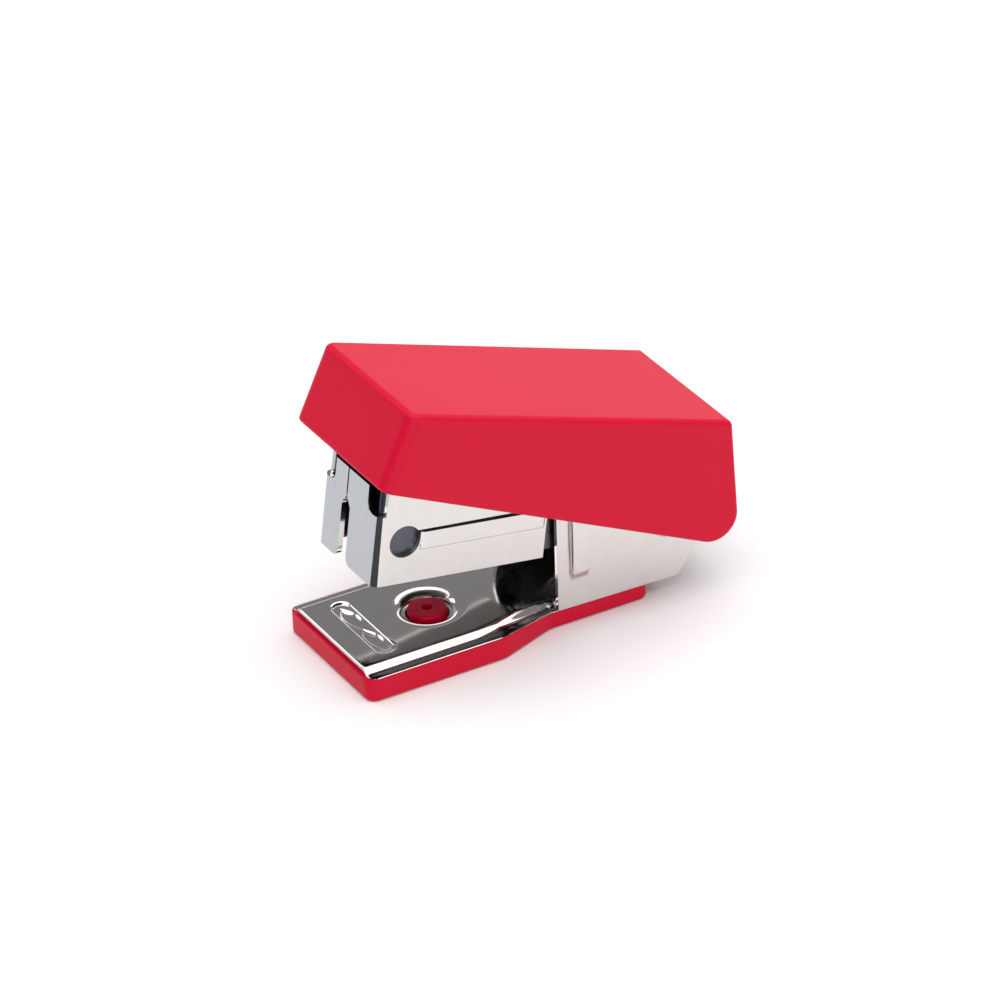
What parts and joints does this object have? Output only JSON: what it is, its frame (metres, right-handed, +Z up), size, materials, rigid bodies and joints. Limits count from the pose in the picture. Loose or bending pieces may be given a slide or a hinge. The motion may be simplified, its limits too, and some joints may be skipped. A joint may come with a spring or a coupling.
{
  "type": "stapler",
  "caption": "Mini desk stapler with a wedge-shaped red handle cap, a plated steel magazine with folded front tabs and a steel base plate on a red sole.",
  "frame": {"origin": "centre of the sole's underside, where the stapler rests on the table", "axes": "+X towards the tail and the hinge, -X towards the nose where the staples leave, +Y across the stapler, +Z up"},
  "size_m": [0.0462, 0.0196, 0.0338],
  "materials": {
    "red_plastic": "moulded, satin gloss",
    "plated_steel": "bright nickel plated pressed sheet",
    "plain_steel": "zinc plated",
    "spring_steel": "hardened spring strip",
    "dark_steel": "blackened sheet",
    "dark_plastic": "moulded, fine matt"
  },
  "bodies": {
    "base": {"base_sole": "red_plastic", "base_plate": "plated_steel", "pivot_pin": "plain_steel", "pivot_washers": "plain_steel", "lift_spring": "spring_steel", "lift_spring_rivet": "plain_steel"},
    "magazine": {"magazine_casing": "plated_steel", "staple_channel": "dark_steel", "staple_rail": "plain_steel", "guide_rod": "plain_steel", "rod_anchor": "dark_plastic", "stop_pin": "plain_steel", "pivot_bush": "plain_steel", "pusher_spring": "spring_steel"},
    "pusher": {"pusher_block": "dark_plastic"},
    "handle": {"handle_cap": "red_plastic", "handle_frame": "plain_steel", "driver_blade": "spring_steel", "driver_rivets": "plain_steel", "return_spring": "spring_steel", "return_spring_rivets": "plain_steel"}
  },
  "joints": [
    {"name": "magazine_pivot", "type": "hinge", "parent": "base", "child": "magazine", "pos_m": [0.0207, 0, 0.0105], "axis": [0, -1, 0], "range_deg": [0, 13.4], "stiffness_Nm_per_rad": 0.1, "springref_deg": -11.46, "deforming": ["lift_spring"]},
    {"name": "handle_press", "type": "hinge", "parent": "magazine", "child": "handle", "pos_m": [0.0207, 0, 0.0105], "axis": [0, -1, 0], "range_deg": [-20, 12.4], "stiffness_Nm_per_rad": 0.2, "deforming": ["return_spring"]},
    {"name": "pusher_slide", "type": "slide", "parent": "magazine", "child": "pusher", "axis": [0.9898, 0, -0.1426], "range_m": [0, 0.0098], "stiffness_N_per_m": 20, "springref_m": -0.02, "deforming": ["pusher_spring"]}
  ]
}
